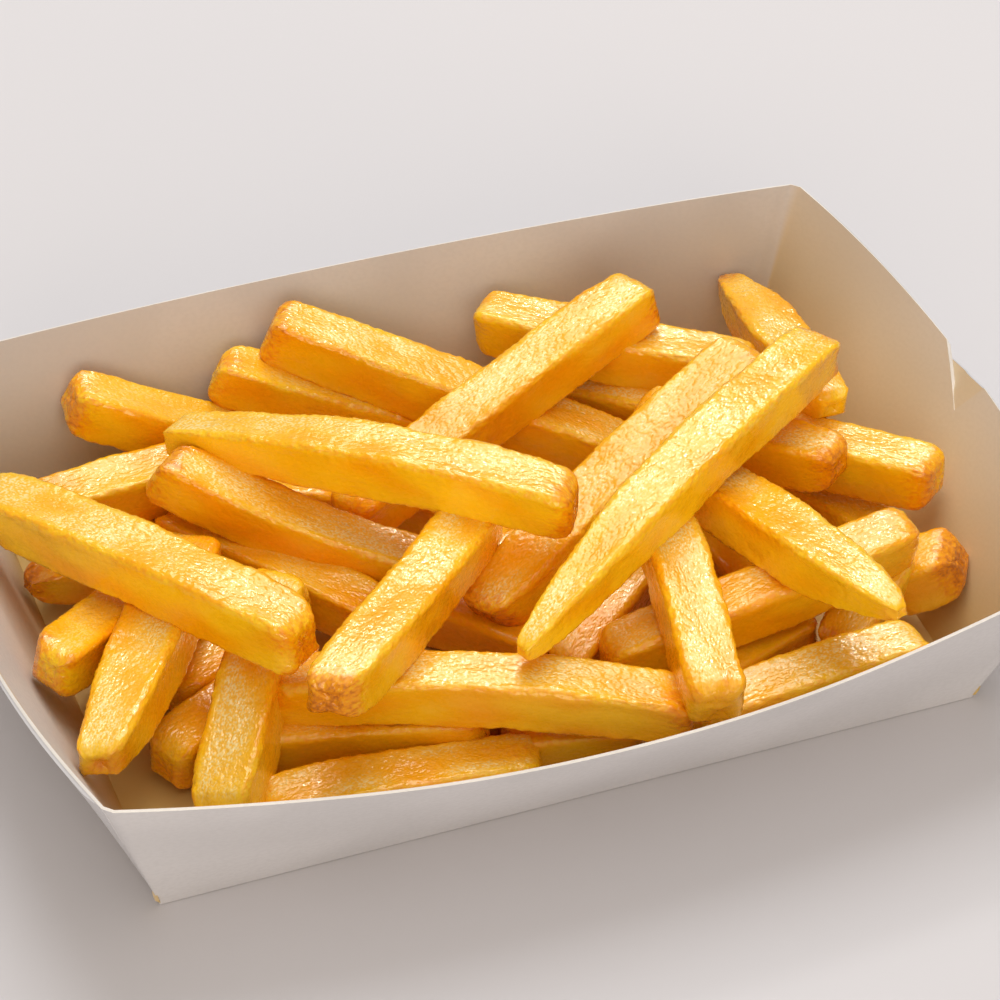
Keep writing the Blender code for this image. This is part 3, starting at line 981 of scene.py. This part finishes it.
# %% The finish of the board
def folding_board(name, face, tooth, inside=False):
    r = Recipe(name)
    place = r.node("ShaderNodeTexCoord").outputs["Object"]
    cloud = r.speckle(place, 60.0)
    fibre = r.speckle(r.stretched(place, (1.0, 1.0, 1.6)), 1100.0)
    cloudy = tuple(c * 0.93 for c in face[:3]) + (1.0,)
    fibrous = tuple(c * 0.88 for c in face[:3]) + (1.0,)
    shade = r.mixed(r.mapped(cloud, 0.3, 0.7), face, cloudy)
    shade = r.mixed(r.mapped(fibre, 0.35, 0.75, 0.0, 0.25), shade, fibrous)
    # Painted glow: golden where `warm` is high, standing in for light thrown back by the fries.
    if inside:
        shade = r.mixed(r.attribute("warm"), shade, colour(216, 182, 104))
    r.feed(r.shader.inputs["Base Color"], shade)
    r.feed(r.shader.inputs["Roughness"], r.mapped(fibre, 0.3, 0.7, 0.55, 0.7))
    r.shader.inputs["Specular IOR Level"].default_value = 0.35
    r.feed(r.shader.inputs["Normal"], r.bumps(fibre, tooth * MM, 0.5))
    return r.material


face_board = folding_board("paperboard", colour(209, 207, 209), 0.03)
cut_board = folding_board("paperboard_cut_edge", colour(236, 230, 222), 0.06)
inner_board = folding_board("paperboard_inside", colour(206, 200, 197), 0.03, inside=True)
for slot, finish in enumerate((face_board, cut_board, inner_board)):
    board.data.materials[slot] = finish
for piece in trim:
    piece.data.materials.append(face_board)
    piece.data.materials.append(inner_board)
for piece in lips:
    piece.data.materials.append(cut_board)
    piece.data.materials.append(cut_board)
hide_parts("carton")
for piece in [board, *trim, *lips]:
    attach(piece, "root")
print("board finishes:", face_board.name, cut_board.name)

# %% [markdown]
# ## The table
#
# The table is a wide, plain, pale sheet, so that only the carton's own soft shadow falls
# on it. It isn't part of the object.

# %% Table
TABLE_REACH = 1500.0


def make_table():
    bm = bmesh.new()
    bmesh.ops.create_grid(bm, x_segments=8, y_segments=8, size=TABLE_REACH * MM)
    mesh = bpy.data.meshes.new("table_top")
    bm.to_mesh(mesh)
    bm.free()
    made = add_object("table_top", mesh)
    made.location.z = -0.15 * MM
    r = Recipe("pale_table")
    place = r.node("ShaderNodeTexCoord").outputs["Object"]
    cloud = r.speckle(place, 9.0)
    r.feed(r.shader.inputs["Base Color"], r.mixed(cloud, colour(216, 213, 215), colour(212, 210, 213)))
    r.shader.inputs["Roughness"].default_value = 0.75
    r.shader.inputs["Specular IOR Level"].default_value = 0.2
    mesh.materials.append(r.material)
    return made


table = make_table()
print("table:", [round(c) for c in table.dimensions], "m")

# %% [markdown]
# ## Light
#
# The light is soft and comes mostly from behind and above, a little from the right. It
# leaves the carton's inner walls and its front face in gentle shade, and it grazes the
# tops of the fries, which brings out their wrinkles. A wide light overhead evens it out, and
# a small one low behind the heap puts the glints on the oily skin. A broad, weak light from
# the front keeps the gaps in the heap from going black, and the room's own pale glow does
# the rest.

# %% Light
def make_light(name, turn, tilt, distance, size, power, tint=(1.0, 1.0, 1.0)):
    """An area light aimed at the heap. turn is measured from the back towards the right."""
    lamp = bpy.data.lights.new(name, "AREA")
    lamp.shape = "DISK"
    lamp.size = size
    lamp.energy = power
    lamp.color = tint
    made = add_object(name, lamp)
    a, e = math.radians(turn), math.radians(tilt)
    way = Vector((math.sin(a) * math.cos(e), math.cos(a) * math.cos(e), math.sin(e)))
    made.location = way * distance
    made.rotation_mode = "QUATERNION"
    made.rotation_quaternion = way.to_track_quat("Z", "Y")
    return made


lights = [
    make_light("window_light", 22, 60, 1.2, 0.9, 8.3, (0.95, 0.98, 1.0)),
    make_light("ceiling_light", 210, 80, 1.3, 1.4, 4.3, (0.98, 0.99, 1.0)),
    make_light("glint_light", 24, 47, 1.3, 0.14, 1.7, (1.0, 0.99, 0.96)),
    make_light("front_fill", 196, 19, 1.5, 1.2, 11.0, (1.0, 0.90, 0.78)),
]
world = bpy.data.worlds.new("room")
world.use_nodes = True
glow = world.node_tree.nodes["Background"]
glow.inputs["Color"].default_value = (1.0, 0.86, 0.72, 1.0)
glow.inputs["Strength"].default_value = 0.32
bpy.context.scene.world = world
bpy.context.scene.view_settings.view_transform = "Standard"
bpy.context.scene.view_settings.look = "None"
print("lights:", [lamp.name for lamp in lights])

# %% [markdown]
# ## Bring the scene up to date
#
# Dressing a model must not change its size. This last step only brings the view layer up to
# date.

# %% Bring the scene up to date
bpy.context.view_layer.update()
